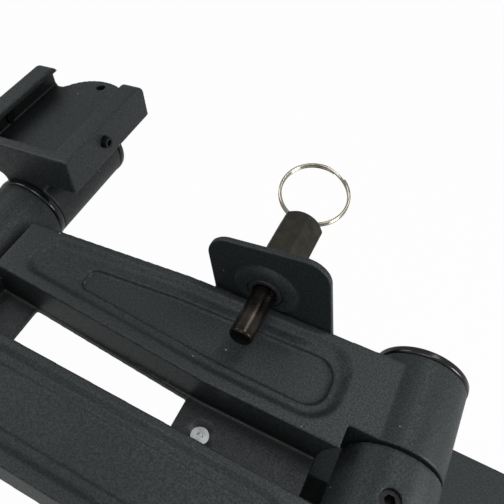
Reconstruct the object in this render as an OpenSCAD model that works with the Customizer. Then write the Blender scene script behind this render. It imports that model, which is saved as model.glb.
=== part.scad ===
// Locking swing-arm display mount: wall bracket, twin-rail arm, spring lock pin and swivel cradle.
// X runs along the arm, Y along the two pivot axes, Z out of the wall. The wall face is Z = 0.

/* [Wall bracket] */
// Length of the wall plate, along the arm
plate_l = 130; // [110:1:180]
// Height of the wall plate, along the pivots
plate_h = 100; // [90:1:140]
// Thickness of the wall plate
plate_t = 5; // [4:0.5:8]
// Corner radius of the wall plate
plate_r = 9; // [4:0.5:14]
// Diameter of the wall screw holes
wall_hole_d = 8.5; // [6:0.1:10]
// Distance between the wall holes, along the arm
wall_hole_dx = 106; // [90:1:160]
// Distance between the wall holes, along the pivots
wall_hole_dy = 76; // [66:1:116]
// Height of the pivot axes above the wall
pivot_h = 42; // [36:1:60]
// Length of the hinge knuckle on the post
knuckle_l = 28; // [20:1:40]
// Width of the post under the knuckle
post_w = 24; // [16:1:26]
// Length of the foot under the post
foot_l = 56; // [46:1:70]
// Thickness of the foot
foot_t = 8; // [6:0.5:12]

/* [Arm] */
// Distance between the two pivot axes
arm_len = 148.2; // [130:0.1:200]
// Height of the arm over its wall barrels
arm_wall_h = 93.2; // [88:0.1:130]
// Height of the arm at its head barrel
arm_head_h = 86; // [76:1:120]
// Outside diameter of the barrels at the wall
barrel_d = 30.8; // [28:0.1:36]
// Outside diameter of the barrels at the head
head_d = 26.2; // [26:0.1:32]
// Height of the rails' front face above the pivot axes
rail_front = 13.5; // [11:0.5:14]
// Depth of the rails' back face below the pivot axes
rail_back = 3; // [1:0.5:8]
// Thickness of the web between the rails, flush with their back
web_t = 3; // [2:0.1:5]
// Distance from the arm's middle to the upper rail at the wall end
gap_wall = 7.4; // [6:0.1:12]
// Distance from the arm's middle to the upper rail at the head end
gap_head = 12.3; // [8:0.1:15]
// Distance from the arm's middle to the lower rail at the wall end
low_gap_wall = 10.5; // [7:0.1:12]
// Distance from the arm's middle to the lower rail at the head end
low_gap_head = 6; // [5.8:0.1:12]
// Drop from the barrel's end to the rails' outer edges at the wall
drop_wall = 3.7; // [2:0.1:9]
// Drop from the barrel's end to the upper rail's outer edge at the head
drop_head = 10.9; // [6:0.1:14]
// Drop from the barrel's end to the lower rail's outer edge at the head
low_drop_head = 6.6; // [5:0.1:14]
// How far the upper rail's edges bow outward at their bends
rail_crown = 2.1; // [0.5:0.1:4]
// Distance from the head pivot to the bend in the upper rail's outer edge
outer_bend = 68.2; // [50:0.1:72]
// Distance from the head pivot to the bend in the upper rail's inner edge
inner_bend = 88.2; // [60:0.1:98]
// Distance from the head pivot to the rails' end faces
rail_start = 11.9; // [11:0.1:12.2]

/* [Rail pockets] */
// Rim left along the upper side of the outer pockets
rim_up = 2.5; // [2:0.1:4]
// Rim left along the lower side of the outer pockets
rim_low = 3.5; // [3:0.1:6]
// Distance from the rail's end face to the outer pocket
pocket_start = 7.4; // [5:0.1:12]
// Distance from the wall pivot to the outer pocket
pocket_end = 21.4; // [18:0.1:30]
// Depth of the outer pocket
pocket_depth = 1.8; // [1:0.1:2.5]
// Width of the sloped side of the outer pocket
pocket_slope = 2.2; // [0.5:0.1:2.6]
// Depth of the panels in the rails' back
back_depth = 1; // [0.5:0.1:1.2]
// Distance from the rails' edges to the inner pockets
inner_inset = 8.1; // [7.5:0.1:9]
// Distance from the lower rail's inner edge to its inner pocket
low_inset = 6.8; // [6.5:0.1:9]
// Distance from the upper outer pocket's head end to the inner pocket's
ledge_head = 18.6; // [10:0.1:24]
// Distance from an outer pocket's end to the inner pocket's, elsewhere
ledge_end = 4.3; // [3:0.1:8]
// Depth of the upper rail's inner pocket below the ledge
inner_depth = 1.4; // [0.8:0.1:2.5]
// Depth of the lower rail's inner pocket below the ledge
low_depth = 0.7; // [0.5:0.1:2.5]

/* [Web] */
// Distance from the head pivot to the web's window
window_start = 26; // [22:0.1:40]
// Distance from the head pivot to the window's far end
window_end = 84; // [60:0.1:84.2]
// Web left between window and rail at the head end
window_lip_head = 0.2; // [0.2:0.1:3]
// Web left between window and rail at the wall end
window_lip_wall = 1.3; // [0.5:0.1:4]
// Distance from the head pivot to the cable clip's screw
clip_at = 93; // [92.7:0.1:103]

/* [Pivots] */
// Diameter of both pivot shafts
shaft_d = 12; // [10:0.5:14]
// Outside diameter of the pivot bushings
bush_d = 16; // [15:0.5:18]
// Diameter of the recesses for shaft heads and nuts
recess_d = 22; // [21.5:0.1:23]
// Depth of those recesses
recess_depth = 11; // [10.5:0.5:14]
// Width of the pivot nuts across flats
nut_af = 18; // [16:0.5:18]
// Thickness of the pivot nuts
nut_t = 6; // [5:0.5:7]
// Thickness of the end caps' rims and of the bushing flange
ring_t = 2.8; // [1.2:0.1:3]
// How far those rims stand out past the barrels
ring_proud = 0.2; // [0.1:0.1:0.6]
// Length of the sleeves at the head pivot
sleeve_l = 22; // [16:1:26]

/* [Lock] */
// Distance from the head pivot to the lock pin
pin_at = 92.4; // [84:0.1:102]
// Height of the lock pin's axis above the pivot axes
pin_rise = 19.9; // [19.7:0.1:26]
// Diameter of the lock pin
pin_d = 7.5; // [6:0.1:7.6]
// Length of pin that stands out of the tab
pin_out = 19.5; // [14:0.5:24]
// How far the pin can be pulled back
pin_travel = 12; // [8:0.5:12]
// Width of the lock tab
tab_w = 40.3; // [36:0.1:46]
// Distance from the pin's axis to the tab's free edge
tab_reach = 18.1; // [17:0.1:24]
// Distance from the pin's axis to the tab's seated edge
tab_root = 21; // [20:0.5:22]
// Thickness of the lock tab
tab_t = 2; // [1.5:0.1:4]
// Radius of the tab's free corners
tab_r = 8; // [4:0.5:12]
// Turn of the tab about the pin
tab_turn = 14; // [0:1:16]
// Width of the pull knob across flats
knob_af = 13.5; // [13.3:0.1:18]
// Length of the pull knob
knob_l = 28; // [25:0.1:36]
// Turn of the knob's flats about the pin
knob_turn = 13; // [0:0.5:60]
// Outside diameter of the split ring
ring_od = 25.2; // [22:0.1:32]
// Diameter of the split ring's wire
ring_wire = 1.1; // [0.9:0.1:1.1]
// Tilt of the split ring out of the pin's line
ring_tilt = 12; // [-60:1:60]
// Lean of the split ring toward the head
ring_lean = 6; // [0:1:8]

/* [Cradle] */
// Swivel of the cradle away from the arm's face
head_swivel = -11.4; // [-60:0.1:60]
// Width of the cradle
cradle_w = 45.7; // [44:0.1:60]
// Length of the cradle's walls, along the pivot
cradle_l = 47.8; // [40:0.1:60]
// Height of the cradle's floor above the pivot axis
floor_h = 18.6; // [18.2:0.1:22]
// Thickness of the cradle's floor
floor_t = 4.7; // [3.5:0.1:6]
// Thickness of the cradle's walls
wall_t = 4; // [3:0.1:5]
// Depth of the slot under the lips
slot_depth = 6.4; // [5:0.1:9]
// Thickness of the lips
lip_t = 2.5; // [1.5:0.1:4]
// How far the lips reach in over the slot
lip_in = 3.1; // [1.5:0.1:5]
// Length of the rounded tongue past the open end
lobe_l = 7.4; // [6.5:0.1:9]
// Diameter of the stop screw hole in the tongue
lobe_hole_d = 3.4; // [2.5:0.1:4.2]
// Diameter of the clamping set screws
set_screw_d = 4; // [3:0.5:4.5]
// Length of the head's barrel
head_barrel_l = 37.3; // [34:0.1:60]

/* [Hidden] */
$fn = 64;

// Clearances: a running fit on a shaft, a fixed fit, a face that slides and a gap between moving parts
run_clear = 0.03;
fixed_clear = 0.01;
face_clear = 0.1;
move_clear = 0.3;
eps = 0.01;

// Wall hinge, from the middle of the knuckle outward
washer_t = 1;
washer_d = 26;
disc_spring_t = 1.5;
disc_spring_d = 18;
shaft_head_d = 20;
shaft_head_t = 4;
cap_spigot_l = 2;
cap_spigot_wall = 1.6;
thread_out = 0.5;
barrel_inner = knuckle_l / 2 + washer_t + face_clear;
wall_top = arm_wall_h / 2;
wall_seat = wall_top - recess_depth;
head_top = arm_head_h / 2;
head_seat = head_top - recess_depth;
ring_d = barrel_d + 2 * ring_proud;
head_ring_d = head_d + 2 * ring_proud;
nut_chamfer = 0.8;
nut_crown_d = nut_af - 0.4;

// The arm's recess around the knuckle and its post
relief_gap = 4.7;
relief_r = sqrt(pow(rail_front, 2) + pow(post_w / 2 + relief_gap, 2));
web_front = web_t - rail_back;

// Post and its screws
foot_w = knuckle_l;
post_screw_d = 6;
post_screw_head_d = 12;
post_screw_dx = foot_l - 16;
post_screw_l = plate_t + foot_t - 1;
post_socket_af = 4;
post_socket_depth = 2.5;
knuckle_screw_d = 6;
knuckle_screw_l = 8;
knuckle_socket_af = 3;
knuckle_socket_depth = 3;

// Rail edges: distances from the arm's middle line at a distance s from the head pivot.
// The upper rail's edges have a bend and the lower rail's edges are straight.
outer_head_y = head_top - drop_head;
outer_wall_y = wall_top - drop_wall;
outer_bend_y = along(outer_bend, rail_start, arm_len, outer_head_y, outer_wall_y) + rail_crown;
inner_bend_y = along(inner_bend, rail_start, arm_len, gap_head, gap_wall) - rail_crown;
low_outer_head_y = head_top - low_drop_head;
web_up = max(gap_head, gap_wall) + eps;
web_low = max(low_gap_head, low_gap_wall) + eps;

function along(s, s0, s1, y0, y1) = y0 + (y1 - y0) * (s - s0) / (s1 - s0);
function outer_y(s, low = false) =
    low ? along(s, rail_start, arm_len, low_outer_head_y, outer_wall_y)
    : s < outer_bend ? along(s, rail_start, outer_bend, outer_head_y, outer_bend_y)
    : along(s, outer_bend, arm_len, outer_bend_y, outer_wall_y);
function inner_y(s, low = false) =
    low ? along(s, rail_start, arm_len, low_gap_head, low_gap_wall)
    : s < inner_bend ? along(s, rail_start, inner_bend, gap_head, inner_bend_y)
    : along(s, inner_bend, arm_len, inner_bend_y, gap_wall);

// Pockets: corner radii at the head and wall ends, and the slope of the inner pockets' sides
pocket_r_head = 5.6;
pocket_r_wall = 10.5;
inner_r_head = 3.2;
inner_r_wall = 7;
inner_slope = 0.5;
low_slope = 0.7;
back_slope = 0.8;
outer_pocket_start = rail_start + pocket_start;
outer_pocket_end = arm_len - pocket_end;

// Cable clip on the back of the web, and the recess in front of its screw
clip_y = -2;
clip_w = 9.6;
clip_l = 16;
clip_depth = 13.5;
clip_cable_d = 7;
clip_mouth = 4.5;
clip_floor = 1.8;
clip_screw_d = 3;
clip_screw_head_d = 5.6;
clip_screw_l = 5.8;
clip_socket_af = 2;
clip_socket_depth = 1;
clip_recess_d = 9.6;
clip_recess_t = 1.2;

// Lock: everything sits on the pin's axis, measured from the tab's lower face
boss_d = 13.6;
boss_t = 1.5;
boss_flare = 4.2;
boss_flare_r = (pow(boss_flare, 2) + pow(boss_t, 2)) / (2 * boss_t);
tube_d = 10.4;
tube_out = boss_t;
tube_edge = 0.5;
tube_flange_d = 11.8;
tube_lip_t = 1.3;
tube_l = 21.5;
stem_d = 5;
pin_shoulder = tab_t;
spring_wire = 0.8;
spring_turns = 6;
spring_ring_steps = 10;
spring_sides = 6;
knob_gap = 0.2;
knob_start = tab_t + knob_gap;
knob_end = knob_start + knob_l;
knob_bore_d = tube_d + 2 * move_clear;
knob_bore_end = tube_l + move_clear + 0.7;
knob_crown_d = knob_af - 0.4;
knob_chamfer = (knob_af / cos(30) - knob_crown_d) / 2;
ring_hole_d = 2.8;
ring_hole_at = knob_end + 1.5;
stem_end = ring_hole_at + 2.4;
stem_chamfer = 0.8;
ring_r = (ring_od - ring_wire) / 2;
ring_overlap = 0.1;
ring_ends_at = 70;
ring_ends_apart = 40;
tab_screw_d = 5;
tab_screw_head_d = 8.5;
tab_screw_head_t = 2.8;
tab_screw_l = 10;
tab_screw_dx = 20;
tab_screw_back = 16;
tab_socket_af = 3;
tab_socket_depth = 1.8;
tab_side = 1.2;
seat_head = 17;
seat_wall = 26;
seat_setback = 3;
seat_sink = 1;
tab_y = outer_y(pin_at + seat_wall);
pin_tip_chamfer = 0.5;

// Cradle, in the head's own frame: x across, y along the pivot, z up from the pivot axis
head_start = head_top + ring_t + face_clear;
head_end = head_start + head_barrel_l;
head_recess = head_end - recess_depth;
cradle_start = head_start;
cradle_end = cradle_start + cradle_l;
cradle_under = floor_h - floor_t;
cradle_top = floor_h + slot_depth + lip_t;
slot_half = cradle_w / 2 - wall_t;
dip_r = 3;
dip_sink = 1.2;
dip_x = slot_half - 2.65;
dip_y = dip_r - dip_sink;
lobe_r = (pow(dip_x, 2) + pow(lobe_l - dip_y, 2) - pow(dip_r, 2)) / (2 * (lobe_l + dip_sink));
lobe_hole_at = cradle_end + lobe_l - 4;
wall_corner_r = 4;
neck_half = 11.2;
neck_r = 3.2;
neck_root = 1;
set_screw_at = cradle_start + 20.5;
set_screw_z = floor_h + 2.4;
set_screw_out = 2;
set_screw_in = 0.6;
socket_af = 2;
socket_depth = 1.6;

casting_colour = [0.16, 0.18, 0.19];
plastic_colour = [0.06, 0.06, 0.065];
oxide_colour = [0.12, 0.11, 0.1];
zinc_colour = [0.7, 0.7, 0.68];
nickel_colour = [0.78, 0.75, 0.68];

// A round bar along Y from y0 to y1
module ybar(d, y0, y1) {
    translate([0, y1, 0])
        rotate([90, 0, 0])
            cylinder(d = d, h = y1 - y0);
}

// A cone along Y, with diameter d0 at y0 and d1 at y1
module ycone(d0, d1, y0, y1) {
    translate([0, y1, 0])
        rotate([90, 0, 0])
            cylinder(d1 = d1, d2 = d0, h = y1 - y0);
}

// A hexagonal bar along Y, with two flats square to X
module yhex(af, y0, y1) {
    translate([0, y1, 0])
        rotate([90, 0, 0])
            rotate([0, 0, 30])
                cylinder(d = af / cos(30), h = y1 - y0, $fn = 6);
}

// A hexagonal bar along Y with both ends turned to a crown that leaves a flat of low_d
module crowned_hex(af, y0, y1, low_d, chamfer) {
    corner_r = af / cos(30) / 2 + eps;
    intersection() {
        yhex(af, y0, y1);
        rotate([-90, 0, 0])
            rotate_extrude()
                polygon([
                    [0, y0],
                    [low_d / 2, y0],
                    [corner_r, y0 + chamfer],
                    [corner_r, y1 - chamfer],
                    [low_d / 2, y1],
                    [0, y1],
                ]);
    }
}

// A flat ring along Y
module yring(od, id, y0, y1) {
    difference() {
        ybar(od, y0, y1);
        ybar(id, y0 - 1, y1 + 1);
    }
}

// A rounded rectangle in X and Y
module rounded_plate(l, w, t, r) {
    translate([-l / 2 + r, -w / 2, 0]) cube([l - 2 * r, w, t]);
    translate([-l / 2, -w / 2 + r, 0]) cube([l, w - 2 * r, t]);
    for (sx = [-1, 1], sy = [-1, 1])
        translate([sx * (l / 2 - r), sy * (w / 2 - r), 0])
            cylinder(r = r, h = t);
}

// Frames: the wall pivot, the head pivot, the turned cradle and the pin's axis
module at_wall_pivot() {
    translate([0, 0, pivot_h]) children();
}

module at_head_pivot() {
    translate([-arm_len, 0, pivot_h]) children();
}

module in_head() {
    at_head_pivot() rotate([0, head_swivel, 0]) children();
}

module in_lock() {
    at_head_pivot()
        translate([pin_at, tab_y, pin_rise])
            children();
}

module in_tab() {
    in_lock() rotate([0, -tab_turn, 0]) children();
}

// Wall plate: flat steel with rounded corners, wall holes and countersunk holes for the post
module wall_plate() {
    color(casting_colour)
    difference() {
        rounded_plate(plate_l, plate_h, plate_t, plate_r);
        for (sx = [-1, 1], sy = [-1, 1])
            translate([sx * wall_hole_dx / 2, sy * wall_hole_dy / 2, -1])
                cylinder(d = wall_hole_d, h = plate_t + 2);
        for (sx = [-1, 1])
            translate([sx * post_screw_dx / 2, 0, 0])
                countersunk_shape(post_screw_d, post_screw_head_d, plate_t + 1, fixed_clear);
    }
}

// A countersunk screw's outline from Z = 0 upward, grown by a clearance
module countersunk_shape(d, head_d, l, clear) {
    head_t = (head_d - d) / 2;
    cylinder(d1 = head_d + 2 * clear, d2 = d + 2 * clear, h = head_t);
    translate([0, 0, head_t - eps]) cylinder(d = d + 2 * clear, h = l - head_t + eps);
}

// Hinge post: a foot, an upright and the middle knuckle of the wall hinge
module hinge_post() {
    color(casting_colour)
    difference() {
        union() {
            translate([-foot_l / 2, -foot_w / 2, plate_t]) cube([foot_l, foot_w, foot_t]);
            translate([-post_w / 2, -knuckle_l / 2, plate_t])
                cube([post_w, knuckle_l, pivot_h - plate_t]);
            at_wall_pivot() ybar(barrel_d, -knuckle_l / 2, knuckle_l / 2);
        }
        at_wall_pivot() {
            ybar(shaft_d + 2 * fixed_clear, -knuckle_l, knuckle_l);
            cylinder(d = knuckle_screw_d + 2 * fixed_clear, h = barrel_d);
        }
        for (sx = [-1, 1])
            translate([sx * post_screw_dx / 2, 0, plate_t - 1])
                cylinder(d = post_screw_d + 2 * fixed_clear, h = post_screw_l - plate_t + 1 + move_clear);
    }
}

// Post screws: countersunk from the back of the plate into the foot
module post_screws() {
    color(zinc_colour)
    for (sx = [-1, 1])
        translate([sx * post_screw_dx / 2, 0, 0])
            difference() {
                countersunk_shape(post_screw_d, post_screw_head_d, post_screw_l, 0);
                translate([0, 0, -eps]) rotate([0, 0, 30])
                    cylinder(d = post_socket_af / cos(30), h = post_socket_depth, $fn = 6);
            }
}

// A pivot shaft: a round head above y1 and a plain shank down to y0
module pivot_shaft(y0, y1) {
    ybar(shaft_d, y0, y1);
    ybar(shaft_head_d, y1, y1 + shaft_head_t);
}

// A lock nut between y0 and y1
module pivot_nut(y0) {
    difference() {
        crowned_hex(nut_af, y0, y0 + nut_t, nut_crown_d, nut_chamfer);
        ybar(shaft_d, y0 - 1, y0 + nut_t + 1);
    }
}

// Wall pivot: shaft, set screw in the knuckle, spring washer, nut and two thrust washers
wall_nut_y = -wall_seat - face_clear - disc_spring_t - nut_t;

module wall_pivot_shaft() {
    color(zinc_colour)
    at_wall_pivot() pivot_shaft(wall_nut_y - thread_out, wall_seat + face_clear);
}

module pivot_set_screw() {
    color(oxide_colour)
    at_wall_pivot()
        difference() {
            translate([0, 0, shaft_d / 2]) cylinder(d = knuckle_screw_d, h = knuckle_screw_l);
            translate([0, 0, shaft_d / 2 + knuckle_screw_l - knuckle_socket_depth])
                cylinder(d = knuckle_socket_af / cos(30), h = knuckle_screw_l, $fn = 6);
        }
}

module wall_pivot_nut() {
    color(zinc_colour) at_wall_pivot() pivot_nut(wall_nut_y);
}

module wall_disc_spring() {
    color(zinc_colour)
    at_wall_pivot()
        yring(disc_spring_d, shaft_d + 2 * fixed_clear, wall_nut_y + nut_t, wall_nut_y + nut_t + disc_spring_t);
}

module wall_thrust_washers() {
    color(plastic_colour)
    at_wall_pivot()
        for (m = [0, 1])
            mirror([0, m, 0])
                yring(washer_d, shaft_d + 2 * fixed_clear, knuckle_l / 2, knuckle_l / 2 + washer_t);
}

// Outline of one rail, from the head end to the wall pivot's axis
module rail_outline(low) {
    inner_at = low ? [rail_start, arm_len] : [rail_start, inner_bend, arm_len];
    outer_at = low ? [arm_len, rail_start] : [arm_len, outer_bend, rail_start];
    polygon(concat(
        [for (s = inner_at) [s, inner_y(s, low)]],
        [for (s = outer_at) [s, outer_y(s, low)]]
    ));
}

// A pocket sunk from z = 0: its edges are inset from the rail's edges and its sides slope inward
module pocket(low, inset_out, inset_in, s0, s1, r_head, r_wall, depth, slope) {
    ends = [[s0 + r_head, r_head], [s1 - r_wall, r_wall]];
    outer_at = low ? ends : concat(ends, [[outer_bend, r_head]]);
    inner_at = low ? ends : concat(ends, [[inner_bend, r_head]]);
    corners = concat(
        [for (c = outer_at) [c[0], outer_y(c[0], low) - inset_out - c[1], c[1]]],
        [for (c = inner_at) [c[0], inner_y(c[0], low) + inset_in + c[1], c[1]]]
    );
    hull()
        for (c = corners)
            translate([c[0], c[1], -depth])
                cylinder(r1 = c[2] - slope, r2 = c[2] + slope / depth, h = depth + 1, $fn = 32);
}

module front_pockets(low) {
    pocket(low, low ? rim_low : rim_up, low ? rim_up : rim_low, outer_pocket_start, outer_pocket_end,
           pocket_r_head, pocket_r_wall, pocket_depth, pocket_slope);
    translate([0, 0, -pocket_depth])
        pocket(low, inner_inset, low ? low_inset : inner_inset,
               outer_pocket_start + (low ? ledge_end : ledge_head), outer_pocket_end - ledge_end,
               inner_r_head, inner_r_wall, low ? low_depth : inner_depth, low ? low_slope : inner_slope);
}

module back_panel(low) {
    pocket(low, rim_low, rim_low, outer_pocket_start, outer_pocket_end,
           pocket_r_head, pocket_r_wall, back_depth, back_slope);
}

// Level seat for the lock tab on the upper rail's outer edge
module tab_seat() {
    s0 = pin_at - seat_head;
    s1 = pin_at + seat_wall;
    translate([0, 0, -rail_back])
        linear_extrude(rail_back + rail_front - seat_setback)
            polygon([
                [s0, outer_y(s0) - seat_sink],
                [s1, outer_y(s1) - seat_sink],
                [s1, tab_y],
                [s0, tab_y],
            ]);
}

// Window through the web, narrower toward the wall
module window_outline() {
    polygon([
        [window_start, window_lip_head - inner_y(window_start, true)],
        [window_end, window_lip_wall - inner_y(window_end, true)],
        [window_end, inner_y(window_end) - window_lip_wall],
        [window_start, inner_y(window_start) - window_lip_head],
    ]);
}

// Arm casting: two tapered rails with stepped pockets, a web with a window, and the barrels
module arm_casting() {
    color(casting_colour)
    difference() {
        union() {
            at_head_pivot() {
                for (m = [0, 1])
                    mirror([0, m, 0])
                        translate([0, 0, -rail_back])
                            linear_extrude(rail_back + rail_front) rail_outline(m == 1);
                translate([0, -web_low, -rail_back]) cube([arm_len, web_low + web_up, web_t]);
                ybar(head_d, -head_top, head_top);
                tab_seat();
            }
            at_wall_pivot() {
                ybar(barrel_d, barrel_inner, wall_top);
                ybar(barrel_d, -wall_top, -barrel_inner);
            }
        }
        at_head_pivot() {
            for (m = [0, 1])
                mirror([0, m, 0]) {
                    translate([0, 0, rail_front]) front_pockets(m == 1);
                    translate([0, 0, -rail_back]) mirror([0, 0, 1]) back_panel(m == 1);
                }
            translate([0, 0, -rail_back - 1]) linear_extrude(web_t + 2) window_outline();
            translate([clip_at, clip_y, web_front]) mirror([0, 0, 1]) {
                cylinder(d1 = clip_recess_d, d2 = clip_screw_head_d, h = clip_recess_t);
                translate([0, 0, clip_recess_t - eps])
                    countersunk_shape(clip_screw_d, clip_screw_head_d, web_t, fixed_clear);
            }
            ybar(bush_d, -head_top - 1, head_top + 1);
            ybar(recess_d, -head_top - 1, -head_seat);
        }
        at_wall_pivot() {
            ybar(2 * relief_r, -barrel_inner, barrel_inner);
            ybar(bush_d, -wall_top - 1, wall_top + 1);
            ybar(recess_d, wall_seat, wall_top + 1);
            ybar(recess_d, -wall_top - 1, -wall_seat);
        }
        in_tab() tab_screw_shafts(fixed_clear, tab_screw_l - tab_t + move_clear);
    }
}

// Bushings at the wall: plain sleeves from the knuckle to the recess
module wall_sleeve() {
    yring(bush_d - 2 * fixed_clear, shaft_d + 2 * run_clear, barrel_inner, wall_seat);
}

module wall_bushing_upper() {
    color(plastic_colour) at_wall_pivot() wall_sleeve();
}

module wall_bushing_lower() {
    color(plastic_colour) at_wall_pivot() mirror([0, 1, 0]) wall_sleeve();
}

// An end cap on a barrel that ends at y = top: a rim outside and a hollow spigot in the recess
module barrel_cap(top, rim_d) {
    ybar(rim_d, top, top + ring_t);
    yring(recess_d - 2 * fixed_clear, recess_d - 2 * cap_spigot_wall, top - cap_spigot_l, top + eps);
}

module wall_cap_upper() {
    color(plastic_colour) at_wall_pivot() barrel_cap(wall_top, ring_d);
}

module wall_cap_lower() {
    color(plastic_colour) at_wall_pivot() mirror([0, 1, 0]) barrel_cap(wall_top, ring_d);
}

// Bushings at the head: the upper one has the flange that shows between the barrels
module head_bushing_upper() {
    color(plastic_colour)
    at_head_pivot()
        difference() {
            union() {
                ybar(bush_d - 2 * fixed_clear, head_top - sleeve_l, head_top + eps);
                ybar(head_ring_d, head_top, head_top + ring_t);
            }
            ybar(shaft_d + 2 * run_clear, head_top - sleeve_l - 1, head_top + ring_t + 1);
        }
}

module head_bushing_lower() {
    color(plastic_colour)
    at_head_pivot()
        yring(bush_d - 2 * fixed_clear, shaft_d + 2 * run_clear, -head_seat, -head_seat + sleeve_l);
}

module head_cap_lower() {
    color(plastic_colour) at_head_pivot() mirror([0, 1, 0]) barrel_cap(head_top, head_ring_d);
}

// Lock tab: a steel plate with two round corners, seated on the rail's outer edge
module lock_tab() {
    x0 = -tab_w / 2 + tab_side;
    x1 = tab_w / 2 + tab_side;
    color(casting_colour)
    difference() {
        in_tab()
            union() {
                translate([x0, 0, -tab_root]) cube([tab_w, tab_t, tab_root + tab_reach - tab_r]);
                translate([x0 + tab_r, 0, 0]) cube([tab_w - 2 * tab_r, tab_t, tab_reach]);
                for (x = [x0 + tab_r, x1 - tab_r])
                    translate([x, 0, tab_reach - tab_r]) ybar(2 * tab_r, 0, tab_t);
                tab_boss();
            }
        in_lock() ybar(tube_flange_d + 2 * fixed_clear, -boss_t - 1, tab_t + 1);
        in_lock() translate([-tab_w, -boss_t - 1, face_clear + rail_front - pin_rise - tab_w]) cube([2 * tab_w, boss_t + 1, tab_w]);
        in_tab() tab_screw_shafts(move_clear, 1);
    }
}

// Boss drawn down around the tab's hole, with a wide rounded shoulder to the plate
module tab_boss() {
    ybar(boss_d, -boss_t, 0);
    rotate([-90, 0, 0])
        rotate_extrude()
            intersection() {
                translate([boss_d / 2 - eps, -boss_t]) square([boss_flare + eps, boss_t + eps]);
                translate([boss_d / 2, boss_flare_r - boss_t]) circle(r = boss_flare_r, $fn = 180);
            }
}

// The two screw holes through the tab, grown by a clearance and sunk below the seat
module tab_screw_shafts(clear, depth) {
    for (sx = [-1, 1])
        translate([tab_side + sx * tab_screw_dx / 2, 0, -tab_screw_back])
            ybar(tab_screw_d + 2 * clear, -depth, tab_t + 1);
}

// Tab screws: low socket heads on the tab, threaded into the rail
module tab_screws() {
    color(oxide_colour)
    in_tab()
        for (sx = [-1, 1])
            translate([tab_side + sx * tab_screw_dx / 2, 0, -tab_screw_back])
                difference() {
                    union() {
                        ybar(tab_screw_d, tab_t - tab_screw_l, tab_t + eps);
                        ybar(tab_screw_head_d, tab_t, tab_t + tab_screw_head_t);
                    }
                    yhex(tab_socket_af, tab_t + tab_screw_head_t - tab_socket_depth, tab_t + tab_screw_head_t + 1);
                }
}

// Plunger housing: a tube pressed into the tab's boss that guides the pin
module plunger_housing() {
    color(casting_colour)
    in_lock()
        difference() {
            union() {
                ycone(tube_flange_d - 2 * tube_edge, tube_flange_d, -tube_out, -tube_out + tube_edge);
                ybar(tube_flange_d, -tube_out + tube_edge, tab_t);
                ybar(tube_d, tab_t - eps, tube_l);
            }
            ybar(pin_d + 2 * run_clear, -tube_out - 1, tube_l - tube_lip_t);
            ycone(pin_d + 2 * tube_edge, pin_d, -tube_out, -tube_out + tube_edge);
            ybar(stem_d + 2 * run_clear, 0, tube_l + 1);
        }
}

// Plunger spring: a wound wire between the pin's shoulder and the housing's lip
spring_low = pin_shoulder + spring_wire / 2 + face_clear;
spring_high = tube_l - tube_lip_t - spring_wire / 2 - face_clear;
spring_r = (pin_d / 2 + stem_d / 2) / 2;
spring_steps = spring_turns * spring_ring_steps;

function spring_point(i, j) =
    let (turn = 360 * i / spring_ring_steps,
         side = 360 * j / spring_sides,
         r = spring_r + spring_wire / 2 * cos(side),
         y = spring_low + (spring_high - spring_low) * i / spring_steps + spring_wire / 2 * sin(side))
    [r * cos(turn), y, r * sin(turn)];

module plunger_spring() {
    points = [for (i = [0 : spring_steps], j = [0 : spring_sides - 1]) spring_point(i, j)];
    walls = [
        for (i = [0 : spring_steps - 1], j = [0 : spring_sides - 1])
            let (a = i * spring_sides + j,
                 b = i * spring_sides + (j + 1) % spring_sides,
                 c = b + spring_sides,
                 d = a + spring_sides)
            each [[a, b, c], [a, c, d]]
    ];
    first = 0;
    last = spring_steps * spring_sides;
    start_face = [for (j = [1 : spring_sides - 2]) [first, first + j + 1, first + j]];
    end_face = [for (j = [1 : spring_sides - 2]) [last, last + j, last + j + 1]];
    color(zinc_colour)
    in_lock()
        polyhedron(points, concat(walls, start_face, end_face));
}

// Lock pin: a chamfered plunger with a thin stem through the knob and an eye for the ring
module lock_pin() {
    color(oxide_colour)
    in_lock() {
        ycone(pin_d - 2 * pin_tip_chamfer, pin_d, -pin_out, -pin_out + pin_tip_chamfer);
        ybar(pin_d, -pin_out + pin_tip_chamfer, pin_shoulder);
        difference() {
            union() {
                ybar(stem_d, pin_shoulder - eps, stem_end - stem_chamfer);
                ycone(stem_d, stem_d - 2 * stem_chamfer, stem_end - stem_chamfer, stem_end);
            }
            translate([-stem_d, ring_hole_at, 0]) rotate([0, 90, 0]) cylinder(d = ring_hole_d, h = 2 * stem_d);
        }
    }
}

// Pull knob: a hexagonal sleeve over the housing, fixed to the stem
module pull_knob() {
    color(oxide_colour)
    in_lock()
        difference() {
            rotate([0, knob_turn, 0]) crowned_hex(knob_af, knob_start, knob_end, knob_crown_d, knob_chamfer);
            ybar(knob_bore_d, knob_start - 1, knob_bore_end);
            ybar(stem_d + 2 * fixed_clear, knob_bore_end - 1, knob_end + 1);
        }
}

// Split ring: two turns of wire side by side, with the two ends open
module split_ring() {
    pitch = ring_wire - ring_overlap;
    color(nickel_colour)
    in_lock()
        translate([0, ring_hole_at, 0])
            rotate([ring_tilt, 0, 0]) rotate([0, 0, ring_lean])
                translate([0, ring_r, 0])
                    difference() {
                        rotate_extrude()
                            for (s = [-1, 1])
                                translate([ring_r, s * pitch / 2]) circle(d = ring_wire, $fn = 24);
                        for (s = [-1, 1])
                            rotate([0, 0, ring_ends_at + s * ring_ends_apart / 2])
                                translate([ring_r, 0, s * (pitch / 2 + ring_wire / 4)])
                                    cube([2 * ring_wire, ring_wire / 2, ring_wire], center = true);
                    }
}

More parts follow.
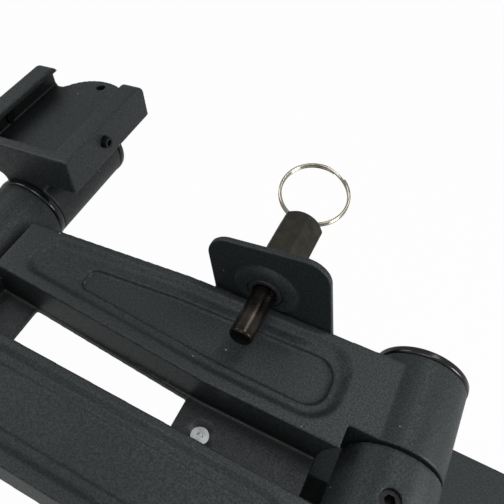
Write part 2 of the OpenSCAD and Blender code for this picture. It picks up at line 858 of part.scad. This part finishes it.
// Cable clip: a plastic saddle screwed to the back of the web
module cable_clip() {
    clip_top = -rail_back - clip_depth;
    cable_z = clip_top + clip_floor + clip_cable_d / 2;
    color(plastic_colour)
    at_head_pivot()
        translate([clip_at, clip_y, 0])
            difference() {
                translate([-clip_l / 2, -clip_w / 2, clip_top]) cube([clip_l, clip_w, clip_depth]);
                translate([-clip_l, 0, cable_z]) rotate([0, 90, 0]) cylinder(d = clip_cable_d, h = 2 * clip_l);
                translate([-clip_l, -clip_mouth / 2, clip_top - 1])
                    cube([2 * clip_l, clip_mouth, cable_z - clip_top + 1]);
                translate([0, 0, web_front - clip_recess_t]) mirror([0, 0, 1])
                    cylinder(d = clip_screw_d + 2 * fixed_clear, h = clip_screw_l + move_clear);
            }
}

module clip_screw() {
    color(zinc_colour)
    at_head_pivot()
        translate([clip_at, clip_y, web_front - clip_recess_t])
            mirror([0, 0, 1])
                difference() {
                    countersunk_shape(clip_screw_d, clip_screw_head_d, clip_screw_l, 0);
                    translate([0, 0, -eps]) cylinder(d = clip_socket_af / cos(30), h = clip_socket_depth, $fn = 6);
                }
}

// Side view of one cradle wall, with its open top corner rounded
module wall_outline() {
    difference() {
        translate([cradle_start, cradle_under]) square([cradle_l, cradle_top - cradle_under]);
        translate([cradle_end - wall_corner_r, cradle_top - wall_corner_r])
            difference() {
                square(wall_corner_r + 1);
                circle(r = wall_corner_r);
            }
    }
}

// A side-view outline as a slab between x0 and x1
module side_slab(x0, x1) {
    translate([x0, 0, 0])
        rotate([90, 0, 90])
            linear_extrude(x1 - x0) children();
}

// Head cradle: barrel, flared neck, and a slotted channel with one end closed
module head_cradle() {
    half = cradle_w / 2;
    color(casting_colour)
    in_head()
        difference() {
            union() {
                ybar(head_d, head_start, head_end);
                translate([-half, cradle_start, cradle_under]) cube([cradle_w, cradle_l, floor_t]);
                for (m = [0, 1])
                    mirror([m, 0, 0]) {
                        side_slab(slot_half, half) wall_outline();
                        intersection() {
                            translate([slot_half - lip_in, cradle_start, cradle_top - lip_t])
                                cube([lip_in + eps, cradle_l, lip_t]);
                            side_slab(0, half) wall_outline();
                        }
                    }
                translate([-half, cradle_start, cradle_under])
                    cube([cradle_w, wall_t, cradle_top - cradle_under]);
                lobe();
                neck();
            }
            ybar(shaft_d + 2 * fixed_clear, head_start - 1, head_end + 1);
            ybar(recess_d, head_recess, head_end + 1);
            translate([0, lobe_hole_at, 0]) cylinder(d = lobe_hole_d, h = floor_h + 1);
            for (sx = [-1, 1])
                translate([sx * dip_x, cradle_end + dip_y, cradle_under - 1]) cylinder(r = dip_r, h = floor_t + 2);
            translate([-cradle_w, set_screw_at, set_screw_z]) rotate([0, 90, 0])
                cylinder(d = set_screw_d + 2 * fixed_clear, h = 2 * cradle_w);
        }
}

// Rounded tongue that carries the floor past the open end, with a dip in the edge on each side of it
module lobe() {
    translate([0, cradle_end + lobe_l - lobe_r, cradle_under])
        intersection() {
            cylinder(r = lobe_r, h = floor_t, $fn = 128);
            translate([-lobe_r, lobe_r - lobe_l - 1, 0]) cube([2 * lobe_r, lobe_l + 2, floor_t]);
        }
}

// Neck between barrel and floor, drawn in by a hollow on each side
module neck() {
    hollow_z = cradle_under - neck_r;
    rotate([90, 0, 0])
        translate([0, 0, -head_end])
            linear_extrude(head_end - cradle_start)
                difference() {
                    translate([-neck_half, hollow_z - neck_root])
                        square([2 * neck_half, neck_r + neck_root + eps]);
                    for (s = [-1, 1])
                        translate([s * neck_half, hollow_z]) circle(r = neck_r);
                }
}

// Head pivot: shaft, spring washer and nut turn with the head
head_nut_y = -head_seat - face_clear - disc_spring_t - nut_t;

module head_pivot_shaft() {
    color(zinc_colour) in_head() pivot_shaft(head_nut_y - thread_out, head_recess);
}

module head_pivot_nut() {
    color(zinc_colour) in_head() pivot_nut(head_nut_y);
}

module head_disc_spring() {
    color(zinc_colour)
    in_head()
        yring(disc_spring_d, shaft_d + 2 * fixed_clear, head_nut_y + nut_t, head_nut_y + nut_t + disc_spring_t);
}

module head_cap_upper() {
    color(plastic_colour) in_head() barrel_cap(head_end, head_ring_d);
}

// A set screw through the right wall, with a hexagon socket outside
module cradle_screw() {
    in_head()
        translate([slot_half - set_screw_in, set_screw_at, set_screw_z])
            rotate([0, 90, 0])
                difference() {
                    cylinder(d = set_screw_d, h = wall_t + set_screw_in + set_screw_out);
                    translate([0, 0, wall_t + set_screw_in + set_screw_out - socket_depth])
                        cylinder(d = socket_af / cos(30), h = socket_depth + 1, $fn = 6);
                }
}

module cradle_screw_right() {
    color(oxide_colour) cradle_screw();
}

module cradle_screw_left() {
    color(oxide_colour)
    in_head()
        mirror([1, 0, 0])
            rotate([0, -head_swivel, 0])
                translate([arm_len, 0, -pivot_h])
                    cradle_screw();
}

wall_plate();
hinge_post();
post_screws();
wall_pivot_shaft();
pivot_set_screw();
wall_pivot_nut();
wall_disc_spring();
wall_thrust_washers();
arm_casting();
wall_bushing_upper();
wall_bushing_lower();
wall_cap_upper();
wall_cap_lower();
head_bushing_upper();
head_bushing_lower();
head_cap_lower();
lock_tab();
tab_screws();
plunger_housing();
plunger_spring();
cable_clip();
clip_screw();
head_cradle();
head_pivot_shaft();
head_pivot_nut();
head_disc_spring();
head_cap_upper();
cradle_screw_left();
cradle_screw_right();
lock_pin();
pull_knob();
split_ring();
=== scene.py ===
import math

import bpy
from mathutils import Matrix, Vector


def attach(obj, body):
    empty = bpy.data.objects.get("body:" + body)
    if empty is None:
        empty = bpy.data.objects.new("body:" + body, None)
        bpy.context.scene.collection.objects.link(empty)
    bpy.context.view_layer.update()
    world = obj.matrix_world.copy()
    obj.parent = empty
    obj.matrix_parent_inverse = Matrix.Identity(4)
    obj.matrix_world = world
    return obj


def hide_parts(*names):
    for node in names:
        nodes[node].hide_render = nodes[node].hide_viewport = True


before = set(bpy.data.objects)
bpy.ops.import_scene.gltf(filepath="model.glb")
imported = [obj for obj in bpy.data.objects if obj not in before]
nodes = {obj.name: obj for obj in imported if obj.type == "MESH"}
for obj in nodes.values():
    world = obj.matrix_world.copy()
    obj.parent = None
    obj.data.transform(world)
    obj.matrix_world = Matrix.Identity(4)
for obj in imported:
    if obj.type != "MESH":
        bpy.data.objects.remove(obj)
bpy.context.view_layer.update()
scene = bpy.context.scene
scene.view_settings.view_transform = "Standard"


# Camera. It looks down across the arm from the wall pivot's side, about 25 cm away, with a short
# telephoto lens. Its place and turn follow the round barrel ends and the straight rail edges.
LENS_MM = 46.0
camera_data = bpy.data.cameras.new("product_camera")
camera_data.sensor_width = 36.0
camera_data.lens = LENS_MM
camera_data.clip_start = 0.01
camera = bpy.data.objects.new("product_camera", camera_data)
camera_right = Vector((0.90075, 0.41693, 0.12171))
camera_up = Vector((-0.40123, 0.69145, 0.60075))
camera_back = Vector((0.16632, -0.58996, 0.79011))
turn = Matrix((camera_right, camera_up, camera_back)).transposed()
camera.matrix_world = Matrix.Translation((-0.0312, -0.0709, 0.2273)) @ turn.to_4x4()
scene.collection.objects.link(camera)
scene.camera = camera


# Studio. A sheet of white paper lies under the wall plate; it is clear when looked at from below. Two soft
# boxes stand on the camera's side and light the slopes that face it, one hangs at the left, a strip overhead
# draws the pin's streak and a small box at the right lifts the wall barrel.
def linear(hex_colour):
    parts = [int(hex_colour[i:i + 2], 16) / 255 for i in (1, 3, 5)]
    return [p / 12.92 if p <= 0.04045 else ((p + 0.055) / 1.055) ** 2.4 for p in parts] + [1.0]


def add(tree, kind, settings=None, links=None):
    node = tree.nodes.new(kind)
    for name, value in (settings or {}).items():
        if isinstance(name, str) and hasattr(node, name) and name not in node.inputs:
            setattr(node, name, value)
        else:
            node.inputs[name].default_value = value
    for name, source in (links or {}).items():
        tree.links.new(source, node.inputs[name])
    return node


def new_material(name):
    material = bpy.data.materials.new(name)
    material.use_nodes = True
    material.node_tree.nodes.clear()
    return material, material.node_tree


PAPER_HALF = 3.0
PAPER_Z = -0.0005
paper_mesh = bpy.data.meshes.new("paper_floor")
paper_corners = [(-PAPER_HALF, -PAPER_HALF, PAPER_Z), (PAPER_HALF, -PAPER_HALF, PAPER_Z),
                 (PAPER_HALF, PAPER_HALF, PAPER_Z), (-PAPER_HALF, PAPER_HALF, PAPER_Z)]
paper_mesh.from_pydata(paper_corners, [], [(0, 1, 2, 3)])
paper = bpy.data.objects.new("paper_floor", paper_mesh)
scene.collection.objects.link(paper)

PAPER_GLOW = 0.98
MIRRORED_GLOW = 0.4


def background_share(tree):
    path = add(tree, "ShaderNodeLightPath")
    seen = add(tree, "ShaderNodeMath", {"operation": "MAXIMUM"},
               {0: path.outputs["Is Camera Ray"], 1: path.outputs["Is Transmission Ray"]})
    seen = add(tree, "ShaderNodeMath", {"operation": "MULTIPLY", 1: PAPER_GLOW}, {0: seen.outputs[0]})
    mirrored = add(tree, "ShaderNodeMath", {"operation": "MULTIPLY", 1: MIRRORED_GLOW},
                   {0: path.outputs["Is Glossy Ray"]})
    return add(tree, "ShaderNodeMath", {"operation": "MAXIMUM"}, {0: seen.outputs[0], 1: mirrored.outputs[0]})


paper_white, tree = new_material("white_backdrop_paper")
matte = add(tree, "ShaderNodeBsdfDiffuse", {"Color": linear("#b8b8b8")})
glow = add(tree, "ShaderNodeEmission", {"Color": linear("#ffffff"), "Strength": 1.0})
mixed = add(tree, "ShaderNodeMixShader", None,
            {0: background_share(tree).outputs[0], 1: matte.outputs[0], 2: glow.outputs[0]})
facing = add(tree, "ShaderNodeNewGeometry")
clear = add(tree, "ShaderNodeBsdfTransparent")
one_sided = add(tree, "ShaderNodeMixShader", None,
                {0: facing.outputs["Backfacing"], 1: mixed.outputs[0], 2: clear.outputs[0]})
add(tree, "ShaderNodeOutputMaterial", None, {"Surface": one_sided.outputs[0]})
paper_mesh.materials.append(paper_white)

sky = bpy.data.worlds.new("studio_sky")
sky.use_nodes = True
sky.node_tree.nodes.clear()
tree = sky.node_tree
ambient = add(tree, "ShaderNodeBackground", {"Color": linear("#eef2f4"), "Strength": 0.05})
white = add(tree, "ShaderNodeBackground", {"Color": linear("#ffffff"), "Strength": 1.0})
mixed = add(tree, "ShaderNodeMixShader", None,
            {0: background_share(tree).outputs[0], 1: ambient.outputs[0], 2: white.outputs[0]})
add(tree, "ShaderNodeOutputWorld", None, {"Surface": mixed.outputs[0]})
scene.world = sky


def soft_box(name, place, target, width, height, watts):
    data = bpy.data.lights.new(name, "AREA")
    data.shape = "RECTANGLE"
    data.size = width
    data.size_y = height
    data.energy = watts
    lamp = bpy.data.objects.new(name, data)
    lamp.location = place
    lamp.visible_camera = False
    lamp.rotation_euler = (Vector(target) - Vector(place)).to_track_quat("-Z", "Y").to_euler()
    scene.collection.objects.link(lamp)


MIDDLE = (-0.06, 0.02, 0.05)
BARREL = (0.0, 0.03, 0.045)
soft_box("front_box", (-0.125, -0.439, 0.237), MIDDLE, 0.2, 0.2, 0.2)
soft_box("front_top_box", (-0.12, -0.19, 0.50), MIDDLE, 0.2, 0.2, 0.42)
soft_box("left_box", (-0.44, 0.08, 0.34), MIDDLE, 0.2, 0.2, 0.46)
soft_box("top_strip", (0.03, 0.20, 0.46), MIDDLE, 0.07, 0.25, 0.32)
soft_box("right_box", (0.25, 0.02, 0.19), BARREL, 0.12, 0.12, 0.6)


# Arm, cradle and hinge post. Die-cast aluminium with rounded edges and hollow corners, powder coated:
# a charcoal coat with a fine sand texture. Painted shade darkens the coat's colour in recesses, inner corners
# and between parts, and open faces are painted a touch lighter; sharp edges are rubbed lighter by wear.
GRAIN_MM = 0.55
CLOUD_MM = 30.0
SPECK_GAP_MM = 9.0
RECESS_MM = 14.0
charcoal_coat, tree = new_material("sand_textured_charcoal_powder_coat")
place = add(tree, "ShaderNodeTexCoord")
grain = add(tree, "ShaderNodeTexNoise", {"Scale": 1000 / GRAIN_MM, "Detail": 2.0, "Roughness": 0.6},
            {"Vector": place.outputs["Object"]})
cloud = add(tree, "ShaderNodeTexNoise", {"Scale": 1000 / CLOUD_MM, "Detail": 3.0, "Roughness": 0.5},
            {"Vector": place.outputs["Object"]})
tone = add(tree, "ShaderNodeValToRGB", None, {"Fac": grain.outputs["Fac"]})
tone.color_ramp.elements[0].position = 0.35
tone.color_ramp.elements[0].color = linear("#1a1e1f")
tone.color_ramp.elements[1].position = 0.7
tone.color_ramp.elements[1].color = linear("#3d4345")
drift = add(tree, "ShaderNodeMapRange", {"From Min": 0.3, "From Max": 0.7, "To Min": 0.88, "To Max": 1.1},
            {"Value": cloud.outputs["Fac"]})
# Painted shade: ambient occlusion darkens the coat's colour to about a fifth in recesses, corners and gaps,
# and lifts it slightly on open faces.
recess_occlusion = add(tree, "ShaderNodeAmbientOcclusion",
                {"samples": 8, "only_local": True, "Distance": RECESS_MM / 1000})
painted_recess_shade = add(tree, "ShaderNodeMapRange",
               {"From Min": 0.45, "From Max": 0.95, "To Min": 0.22, "To Max": 1.05},
               {"Value": recess_occlusion.outputs["AO"]})
cloud_and_painted_shade = add(tree, "ShaderNodeMath", {"operation": "MULTIPLY"},
            {0: drift.outputs["Result"], 1: painted_recess_shade.outputs["Result"]})
shade = add(tree, "ShaderNodeMix", {"data_type": "RGBA", "blend_type": "MULTIPLY", 0: 1.0},
            {6: tone.outputs["Color"], 7: cloud_and_painted_shade.outputs[0]})
form = add(tree, "ShaderNodeNewGeometry")
ridge = add(tree, "ShaderNodeMapRange", {"From Min": 0.53, "From Max": 0.62},
            {"Value": form.outputs["Pointiness"]})
rubbed = add(tree, "ShaderNodeMapRange", {"From Min": 0.42, "From Max": 0.62},
             {"Value": grain.outputs["Fac"]})
wear = add(tree, "ShaderNodeMath", {"operation": "MULTIPLY"},
           {0: ridge.outputs["Result"], 1: rubbed.outputs["Result"]})
worn_over_painted_shade = add(tree, "ShaderNodeMix", {"data_type": "RGBA", 7: linear("#565c5e")},
           {0: wear.outputs[0], 6: shade.outputs[2]})
fleck = add(tree, "ShaderNodeTexVoronoi", {"Scale": 1000 / SPECK_GAP_MM, "Randomness": 1.0},
            {"Vector": place.outputs["Object"]})
fleck_mask = add(tree, "ShaderNodeMapRange",
                 {"From Min": 0.022, "From Max": 0.034, "To Min": 1.0, "To Max": 0.0},
                 {"Value": fleck.outputs["Distance"]})
colour = add(tree, "ShaderNodeMix", {"data_type": "RGBA", 7: linear("#a2a6a4")},
             {0: fleck_mask.outputs["Result"], 6: worn_over_painted_shade.outputs[2]})
rough = add(tree, "ShaderNodeMapRange", {"From Min": 0.3, "From Max": 0.7, "To Min": 0.54, "To Max": 0.4},
            {"Value": grain.outputs["Fac"]})
bump = add(tree, "ShaderNodeBump", {"Strength": 0.6, "Distance": 0.00008}, {"Height": grain.outputs["Fac"]})
coat = add(tree, "ShaderNodeBsdfPrincipled", {"IOR": 1.5, "Specular IOR Level": 0.35},
           {"Base Color": colour.outputs[2], "Roughness": rough.outputs["Result"],
            "Normal": bump.outputs["Normal"]})
add(tree, "ShaderNodeOutputMaterial", None, {"Surface": coat.outputs[0]})


def finish(names, material):
    for name in names:
        mesh = nodes[name].data
        mesh.materials.clear()
        mesh.materials.append(material)


WELD_MM = 0.002
FLAT_ANGLE = math.radians(1.0)
EDGE_ANGLE = math.radians(32)


def join_faces(name):
    weld = nodes[name].modifiers.new("join_faces", "WELD")
    weld.merge_threshold = WELD_MM / 1000


def round_edges(name, radius_mm, segments=3):
    join_faces(name)
    flats = nodes[name].modifiers.new("whole_flats", "DECIMATE")
    flats.decimate_type = "DISSOLVE"
    flats.angle_limit = FLAT_ANGLE
    bevel = nodes[name].modifiers.new("round_edges", "BEVEL")
    bevel.width = radius_mm / 1000
    bevel.segments = segments
    bevel.limit_method = "ANGLE"
    bevel.angle_limit = EDGE_ANGLE
    bevel.use_clamp_overlap = False
    bevel.miter_outer = "MITER_ARC"
    normals = nodes[name].modifiers.new("even_shading", "WEIGHTED_NORMAL")
    normals.keep_sharp = True
    normals.weight = 80


def soften_casting(name, skin_mm):
    join_faces(name)
    skin = nodes[name].modifiers.new("cast_skin", "REMESH")
    skin.mode = "VOXEL"
    skin.voxel_size = skin_mm / 1000
    skin.use_smooth_shade = True
    relax = nodes[name].modifiers.new("round_edges", "SMOOTH")
    relax.factor = 0.5
    relax.iterations = 6
    lighter = nodes[name].modifiers.new("lighter_flats", "DECIMATE")
    lighter.ratio = 0.16


coated = ["arm_casting", "head_cradle", "hinge_post", "wall_plate", "lock_tab", "plunger_housing"]
finish(coated, charcoal_coat)
soften_casting("arm_casting", 0.4)
soften_casting("head_cradle", 0.35)
soften_casting("hinge_post", 0.5)


# Wall plate, lock tab and plunger housing. Steel plate, cut and drilled, with edges broken by tumbling, in
# the same coat as the castings. The tab's boss is drawn from the plate, and the housing's end shows in it.
round_edges("wall_plate", 0.8)
soften_casting("lock_tab", 0.25)
round_edges("plunger_housing", 0.2)


# Barrel caps and the flange between the barrels. Moulded black plastic with a polished face, pressed into
# the recesses, so that each shows as a glossy rounded ring at a barrel's end.
HAZE_MM = 4.0
gloss_black, tree = new_material("polished_black_nylon")
place = add(tree, "ShaderNodeTexCoord")
haze = add(tree, "ShaderNodeTexNoise", {"Scale": 1000 / HAZE_MM, "Detail": 4.0, "Roughness": 0.6},
           {"Vector": place.outputs["Object"]})
rough = add(tree, "ShaderNodeMapRange", {"From Min": 0.3, "From Max": 0.7, "To Min": 0.16, "To Max": 0.28},
            {"Value": haze.outputs["Fac"]})
tint = add(tree, "ShaderNodeValToRGB", None, {"Fac": haze.outputs["Fac"]})
tint.color_ramp.elements[0].color = linear("#070808")
tint.color_ramp.elements[1].color = linear("#121414")
gloss = add(tree, "ShaderNodeBsdfPrincipled", {"IOR": 1.53},
            {"Base Color": tint.outputs["Color"], "Roughness": rough.outputs["Result"]})
add(tree, "ShaderNodeOutputMaterial", None, {"Surface": gloss.outputs[0]})
cap_names = ["wall_cap_upper", "wall_cap_lower", "head_cap_lower", "head_cap_upper", "head_bushing_upper"]
finish(cap_names, gloss_black)
for name in cap_names:
    round_edges(name, 0.9, segments=5)


# Bushings, thrust washers and cable clip. Plain moulded nylon with a dry, slightly mottled skin.
SKIN_MM = 0.8
dry_nylon, tree = new_material("moulded_dark_nylon")
place = add(tree, "ShaderNodeTexCoord")
skin = add(tree, "ShaderNodeTexNoise", {"Scale": 1000 / SKIN_MM, "Detail": 3.0, "Roughness": 0.55},
           {"Vector": place.outputs["Object"]})
tint = add(tree, "ShaderNodeValToRGB", None, {"Fac": skin.outputs["Fac"]})
tint.color_ramp.elements[0].color = linear("#141517")
tint.color_ramp.elements[1].color = linear("#2a2c2e")
rough = add(tree, "ShaderNodeMapRange", {"From Min": 0.3, "From Max": 0.7, "To Min": 0.5, "To Max": 0.68},
            {"Value": skin.outputs["Fac"]})
bump = add(tree, "ShaderNodeBump", {"Strength": 0.25, "Distance": 0.00006}, {"Height": skin.outputs["Fac"]})
nylon = add(tree, "ShaderNodeBsdfPrincipled", {"IOR": 1.53},
            {"Base Color": tint.outputs["Color"], "Roughness": rough.outputs["Result"],
             "Normal": bump.outputs["Normal"]})
add(tree, "ShaderNodeOutputMaterial", None, {"Surface": nylon.outputs[0]})
dry_names = ["wall_bushing_upper", "wall_bushing_lower", "head_bushing_lower", "wall_thrust_washers",
             "cable_clip"]
finish(dry_names, dry_nylon)
round_edges("cable_clip", 0.4)


# Lock pin and the socket screws. Turned steel, blackened in a hot oxide bath and oiled: a dark
# brown-black metal with a bright streak of light and faint rings from the lathe.
LATHE_RING_MM = 0.35
WAVE_CYCLE = 6.28
STAIN_MM = 5.0
black_oxide, tree = new_material("turned_black_oxide_steel")
place = add(tree, "ShaderNodeTexCoord")
rings = add(tree, "ShaderNodeTexWave",
            {"wave_type": "BANDS", "bands_direction": "Y", "Distortion": 0.6, "Detail": 2.0,
             "Scale": 1000 / LATHE_RING_MM / WAVE_CYCLE},
            {"Vector": place.outputs["Object"]})
stain = add(tree, "ShaderNodeTexNoise", {"Scale": 1000 / STAIN_MM, "Detail": 4.0, "Roughness": 0.6},
            {"Vector": place.outputs["Object"]})
tint = add(tree, "ShaderNodeValToRGB", None, {"Fac": stain.outputs["Fac"]})
tint.color_ramp.elements[0].position = 0.3
tint.color_ramp.elements[0].color = linear("#2a2623")
tint.color_ramp.elements[1].position = 0.7
tint.color_ramp.elements[1].color = linear("#4a4540")
rough = add(tree, "ShaderNodeMapRange", {"From Min": 0.3, "From Max": 0.7, "To Min": 0.22, "To Max": 0.32},
            {"Value": stain.outputs["Fac"]})
bump = add(tree, "ShaderNodeBump", {"Strength": 0.12, "Distance": 0.00002}, {"Height": rings.outputs["Fac"]})
oxide = add(tree, "ShaderNodeBsdfPrincipled", {"Metallic": 1.0},
            {"Base Color": tint.outputs["Color"], "Roughness": rough.outputs["Result"],
             "Normal": bump.outputs["Normal"]})
add(tree, "ShaderNodeOutputMaterial", None, {"Surface": oxide.outputs[0]})
finish(["lock_pin", "tab_screws"], black_oxide)
for name in ("lock_pin", "tab_screws"):
    round_edges(name, 0.2)


# Cradle set screws. Hardened steel with a dull black oxide skin, darker than the lock pin and not oiled.
SCREW_MARK_MM = 0.6
screw_black, tree = new_material("dry_black_oxide_steel")
place = add(tree, "ShaderNodeTexCoord")
marks = add(tree, "ShaderNodeTexNoise", {"Scale": 1000 / SCREW_MARK_MM, "Detail": 3.0},
            {"Vector": place.outputs["Object"]})
tint = add(tree, "ShaderNodeValToRGB", None, {"Fac": marks.outputs["Fac"]})
tint.color_ramp.elements[0].color = linear("#0b0b0c")
tint.color_ramp.elements[1].color = linear("#222324")
rough = add(tree, "ShaderNodeMapRange", {"From Min": 0.3, "From Max": 0.7, "To Min": 0.35, "To Max": 0.5},
            {"Value": marks.outputs["Fac"]})
screw_steel = add(tree, "ShaderNodeBsdfPrincipled", {"Metallic": 0.6},
                  {"Base Color": tint.outputs["Color"], "Roughness": rough.outputs["Result"]})
add(tree, "ShaderNodeOutputMaterial", None, {"Surface": screw_steel.outputs[0]})
finish(["cradle_screw_left", "cradle_screw_right", "pivot_set_screw"], screw_black)
for name in ("cradle_screw_left", "cradle_screw_right"):
    round_edges(name, 0.2)


# Pull knob. Drawn hexagon bar with crowned ends, phosphate blackened: greyer, browner and duller than the
# pin, with drawing lines along its flats.
DRAW_LINE_MM = 0.3
BLOTCH_MM = 3.5
dull_oxide, tree = new_material("phosphate_blackened_hex_bar")
place = add(tree, "ShaderNodeTexCoord")
stretch = add(tree, "ShaderNodeMapping", {"Scale": (1.0, 0.04, 1.0)}, {"Vector": place.outputs["Object"]})
lines = add(tree, "ShaderNodeTexNoise", {"Scale": 1000 / DRAW_LINE_MM, "Detail": 2.0},
            {"Vector": stretch.outputs["Vector"]})
stain = add(tree, "ShaderNodeTexNoise", {"Scale": 1000 / BLOTCH_MM, "Detail": 5.0, "Roughness": 0.65},
            {"Vector": place.outputs["Object"]})
tint = add(tree, "ShaderNodeValToRGB", None, {"Fac": stain.outputs["Fac"]})
tint.color_ramp.elements[0].position = 0.3
tint.color_ramp.elements[0].color = linear("#2b2924")
tint.color_ramp.elements[1].position = 0.72
tint.color_ramp.elements[1].color = linear("#47443b")
rough = add(tree, "ShaderNodeMapRange", {"From Min": 0.3, "From Max": 0.7, "To Min": 0.5, "To Max": 0.66},
            {"Value": stain.outputs["Fac"]})
bump = add(tree, "ShaderNodeBump", {"Strength": 0.15, "Distance": 0.00003}, {"Height": lines.outputs["Fac"]})
hexbar = add(tree, "ShaderNodeBsdfPrincipled", {"Metallic": 0.5, "Specular IOR Level": 0.3},
             {"Base Color": tint.outputs["Color"], "Roughness": rough.outputs["Result"],
              "Normal": bump.outputs["Normal"]})
add(tree, "ShaderNodeOutputMaterial", None, {"Surface": hexbar.outputs[0]})
finish(["pull_knob"], dull_oxide)
round_edges("pull_knob", 0.4, segments=4)


# Split ring. Two turns of round spring wire wound close together and nickel plated. The turns step over
# each other where the wire's two ends lie side by side.
WIRE_MM = 1.1
RING_MEAN_R_MM = 12.05
RING_TILT = math.radians(12)
RING_LEAN = math.radians(6)
EYE_X_MM = -55.8
EYE_Y_MM = 73.021
EYE_Z_MM = 61.9
WIRE_START = math.radians(70)
TURN_STEPS = 96
END_GAP_STEPS = 5
STEP_OVER = 0.12
TURN_PRESS_MM = 0.08
ring_turn = Matrix.Rotation(RING_TILT, 3, "X") @ Matrix.Rotation(RING_LEAN, 3, "Z")
eye = Vector((EYE_X_MM, EYE_Y_MM, EYE_Z_MM))
points = []
for i in range(2 * TURN_STEPS - END_GAP_STEPS):
    turns = i / TURN_STEPS
    ramp = min(max((turns - 1 + STEP_OVER / 2) / STEP_OVER, 0.0), 1.0)
    side = (ramp * ramp * (3 - 2 * ramp) - 0.5) * (WIRE_MM - TURN_PRESS_MM)
    angle = WIRE_START + 2 * math.pi * turns
    round_point = Vector((RING_MEAN_R_MM * math.cos(angle), RING_MEAN_R_MM * (1 + math.sin(angle)), side))
    points.append((eye + ring_turn @ round_point) / 1000)
wire_curve = bpy.data.curves.new("split_ring_wire", "CURVE")
wire_curve.dimensions = "3D"
wire_curve.bevel_depth = WIRE_MM / 2000
wire_curve.bevel_resolution = 4
wire_curve.use_fill_caps = True
spline = wire_curve.splines.new("POLY")
spline.points.add(len(points) - 1)
for point, spot in zip(spline.points, points):
    point.co = (*spot, 1.0)
wire = bpy.data.objects.new("split_ring_wire", wire_curve)
scene.collection.objects.link(wire)

TARNISH_MM = 8.0
nickel, tree = new_material("bright_nickel_plate")
place = add(tree, "ShaderNodeTexCoord")
tarnish = add(tree, "ShaderNodeTexNoise", {"Scale": 1000 / TARNISH_MM, "Detail": 4.0},
              {"Vector": place.outputs["Object"]})
tint = add(tree, "ShaderNodeValToRGB", None, {"Fac": tarnish.outputs["Fac"]})
tint.color_ramp.elements[0].color = linear("#a29b8c")
tint.color_ramp.elements[1].color = linear("#c4beae")
rough = add(tree, "ShaderNodeMapRange", {"From Min": 0.3, "From Max": 0.7, "To Min": 0.14, "To Max": 0.2},
            {"Value": tarnish.outputs["Fac"]})
plate = add(tree, "ShaderNodeBsdfPrincipled", {"Metallic": 1.0},
            {"Base Color": tint.outputs["Color"], "Roughness": rough.outputs["Result"]})
add(tree, "ShaderNodeOutputMaterial", None, {"Surface": plate.outputs[0]})
wire_curve.materials.append(nickel)
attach(wire, "pull_ring")
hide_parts("split_ring")


# Pivot shafts, nuts, spring washers, post screws, clip screw and plunger spring. Bright zinc-plated steel:
# silvery, faintly blue, with soft blotches from the plating bath.
BLOOM_MM = 3.0
zinc, tree = new_material("bright_zinc_plated_steel")
place = add(tree, "ShaderNodeTexCoord")
bloom = add(tree, "ShaderNodeTexNoise", {"Scale": 1000 / BLOOM_MM, "Detail": 4.0},
            {"Vector": place.outputs["Object"]})
tint = add(tree, "ShaderNodeValToRGB", None, {"Fac": bloom.outputs["Fac"]})
tint.color_ramp.elements[0].color = linear("#9a9c9c")
tint.color_ramp.elements[1].color = linear("#d3d6d6")
rough = add(tree, "ShaderNodeMapRange", {"From Min": 0.3, "From Max": 0.7, "To Min": 0.24, "To Max": 0.4},
            {"Value": bloom.outputs["Fac"]})
steel = add(tree, "ShaderNodeBsdfPrincipled", {"Metallic": 1.0},
            {"Base Color": tint.outputs["Color"], "Roughness": rough.outputs["Result"]})
add(tree, "ShaderNodeOutputMaterial", None, {"Surface": steel.outputs[0]})
finish(["post_screws", "wall_pivot_shaft", "wall_pivot_nut", "wall_disc_spring", "head_pivot_shaft",
        "head_pivot_nut", "head_disc_spring", "clip_screw", "plunger_spring"], zinc)
